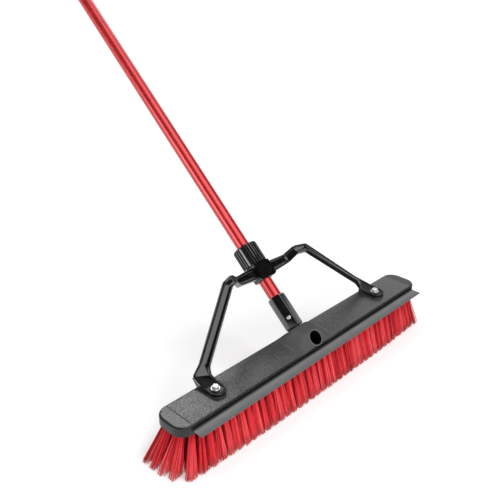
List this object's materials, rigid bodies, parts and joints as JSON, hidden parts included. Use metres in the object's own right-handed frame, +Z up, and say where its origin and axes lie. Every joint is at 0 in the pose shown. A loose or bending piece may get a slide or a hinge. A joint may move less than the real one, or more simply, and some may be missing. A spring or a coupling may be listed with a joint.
{
  "type": "push broom",
  "caption": "Push broom with a long moulded head, red bristles, a front squeegee strip and a braced steel handle that screws into the head and is held by a clamp nut.",
  "frame": {"origin": "on the floor under the middle of the head, in the plane of the bristle tips", "axes": "+X along the head, +Y to the back, the way the handle leans, +Z up"},
  "size_m": [0.6494, 1.1991, 1.111],
  "materials": {
    "block_grey": "pebble grain on top, smooth ends",
    "blade_grey": "smooth",
    "bristle_red": "satin fibre",
    "brace_black": "glossy",
    "nut_black": "satin",
    "collet_black": "satin",
    "zinc": "bright plated",
    "brass": "plain",
    "tube_red": "glossy metallic paint",
    "ferrule_black": "satin",
    "cap_black": "glossy"
  },
  "bodies": {
    "head": {"block": "block_grey", "squeegee_blade": "blade_grey", "bristles_front": "bristle_red", "bristles_front_mid": "bristle_red", "bristles_middle": "bristle_red", "bristles_rear_mid": "bristle_red", "bristles_rear": "bristle_red", "brace": "brace_black", "brace_screws": "zinc", "brace_washers": "zinc", "screw_inserts": "brass"},
    "collet": {"clamp_collet": "collet_black"},
    "nut": {"clamp_nut": "nut_black"},
    "handle": {"handle_tube": "tube_red", "handle_ferrule": "ferrule_black", "ferrule_screw": "zinc", "handle_cap": "cap_black"}
  },
  "joints": [
    {"name": "collet_slide", "type": "slide", "parent": "head", "child": "collet", "axis": [0, 0.7431, 0.6691], "range_m": [0, 0.005]},
    {"name": "nut_turn", "type": "hinge", "parent": "collet", "child": "nut", "pos_m": [0, 0.13397, 0.19667], "axis": [0, 0.7431, 0.6691], "range_deg": [0, 720]},
    {"name": "handle_turn", "type": "hinge", "parent": "head", "child": "handle", "pos_m": [0, 0.0225, 0.0963], "axis": [0, 0.7431, 0.6691], "range_deg": [0, 360]}
  ],
  "couplings": [
    {"joint": "collet_slide", "follows": "nut_turn", "m_per_rad": 0.000397}
  ]
}
